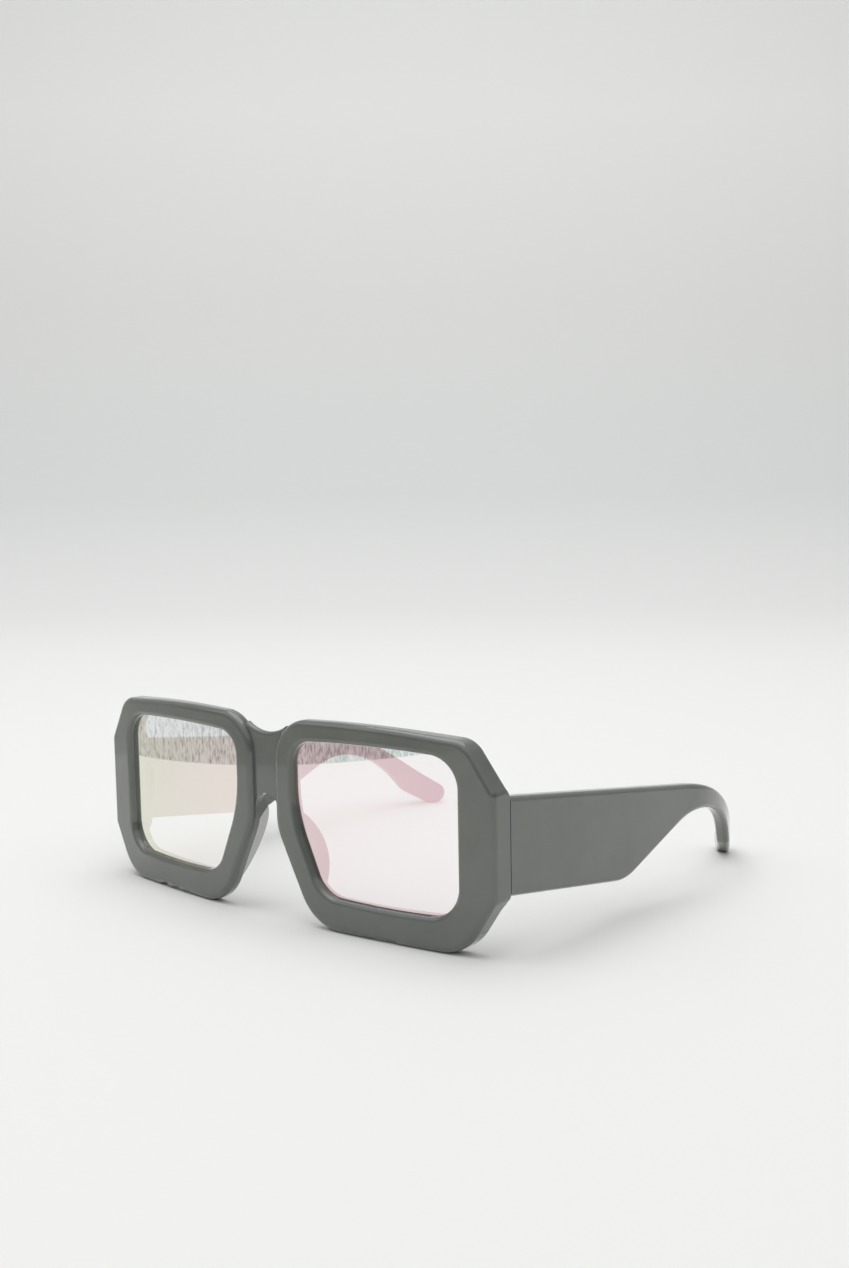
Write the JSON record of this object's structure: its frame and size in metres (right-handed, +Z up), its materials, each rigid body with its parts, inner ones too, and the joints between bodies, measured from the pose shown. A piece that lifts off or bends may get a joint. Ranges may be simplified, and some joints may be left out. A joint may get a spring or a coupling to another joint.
{
  "type": "oversized sunglasses",
  "caption": "Chunky wide sunglasses with puffed rectangular rims, near-clear tinted lenses and broad folding temples that step down to ear pieces.",
  "frame": {"origin": "centre of the bounding box on the surface that the open sunglasses stand on", "axes": "+X to the wearer's left, +Y from the front to the ear tips, +Z up"},
  "size_m": [0.1538, 0.1532, 0.0577],
  "materials": {
    "frame_plastic": "polished grey-green moulded plastic",
    "temple_plastic": "polished grey-green moulded plastic",
    "pad_plastic": "polished grey-green plastic",
    "lens": "clear lens with a faint pink and green flash coating",
    "hinge_steel": "blackened steel",
    "screw_steel": "blackened steel"
  },
  "bodies": {
    "front": {"front_frame": "frame_plastic", "left_lens": "lens", "right_lens": "lens", "left_front_hinge_leaf": "hinge_steel", "right_front_hinge_leaf": "hinge_steel", "left_hinge_screw": "screw_steel", "right_hinge_screw": "screw_steel", "left_front_leaf_screws": "screw_steel", "right_front_leaf_screws": "screw_steel", "left_nose_pad": "pad_plastic", "right_nose_pad": "pad_plastic"},
    "left_temple_body": {"left_temple": "temple_plastic", "left_temple_hinge_leaf": "hinge_steel", "left_temple_leaf_screws": "screw_steel"},
    "right_temple_body": {"right_temple": "temple_plastic", "right_temple_hinge_leaf": "hinge_steel", "right_temple_leaf_screws": "screw_steel"}
  },
  "joints": [
    {"name": "left_temple_fold", "type": "hinge", "parent": "front", "child": "left_temple_body", "pos_m": [0.0693, -0.06002, 0.02869], "axis": [0, -0.0196, 0.9998], "range_deg": [0, 86]},
    {"name": "right_temple_fold", "type": "hinge", "parent": "front", "child": "right_temple_body", "pos_m": [-0.0693, -0.06002, 0.02869], "axis": [0, 0.0196, -0.9998], "range_deg": [0, 62]}
  ]
}
